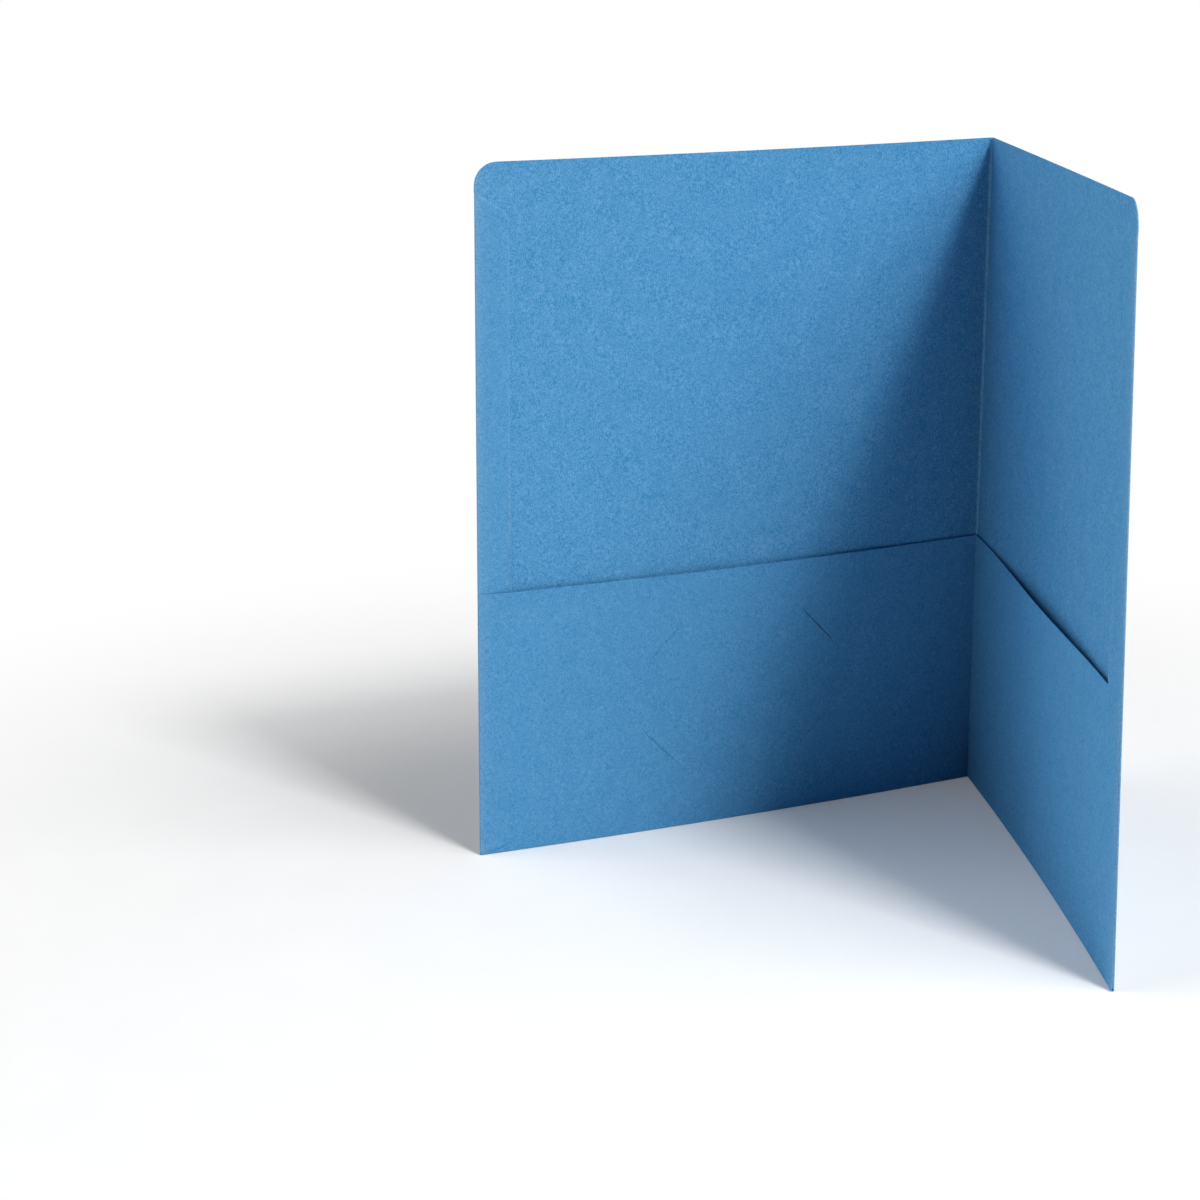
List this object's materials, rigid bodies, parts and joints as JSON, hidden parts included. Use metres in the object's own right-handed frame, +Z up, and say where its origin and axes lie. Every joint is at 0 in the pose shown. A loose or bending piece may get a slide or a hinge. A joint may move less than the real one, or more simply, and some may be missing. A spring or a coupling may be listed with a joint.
{
  "type": "two pocket folder",
  "caption": "Letter-size paper folder standing half open: creased cover leaves, glued edge flaps and a bottom pocket strip across the spine, with slits that hold a card.",
  "frame": {"origin": "foot of the spine: the fold axis where it meets the surface the folder stands on", "axes": "+Z up along the spine, +Y out of the left leaf's outer face, the left leaf runs along -X and the right leaf is swung towards -Y"},
  "size_m": [0.246, 0.2302, 0.2953],
  "materials": {
    "blue_paper": "dyed-through heavy paper with a fine felt grain, matt",
    "dried_glue": "thin dried glue film"
  },
  "bodies": {
    "left_cover": {"left_leaf": "blue_paper", "left_edge_fold": "blue_paper", "left_flap": "blue_paper", "left_flap_glue": "dried_glue", "left_bottom_fold": "blue_paper", "left_pocket": "blue_paper", "left_pocket_glue": "dried_glue", "spine_crease": "blue_paper", "pocket_crease": "blue_paper"},
    "right_cover": {"right_leaf": "blue_paper", "right_edge_fold": "blue_paper", "right_flap": "blue_paper", "right_flap_glue": "dried_glue", "right_bottom_fold": "blue_paper", "right_pocket": "blue_paper", "right_pocket_glue": "dried_glue"}
  },
  "joints": [
    {"name": "spine_fold", "type": "hinge", "parent": "left_cover", "child": "right_cover", "pos_m": [0, 0, 0], "axis": [0, 0, 1], "range_deg": [-65, 111], "deforming": ["spine_crease", "pocket_crease"]}
  ]
}
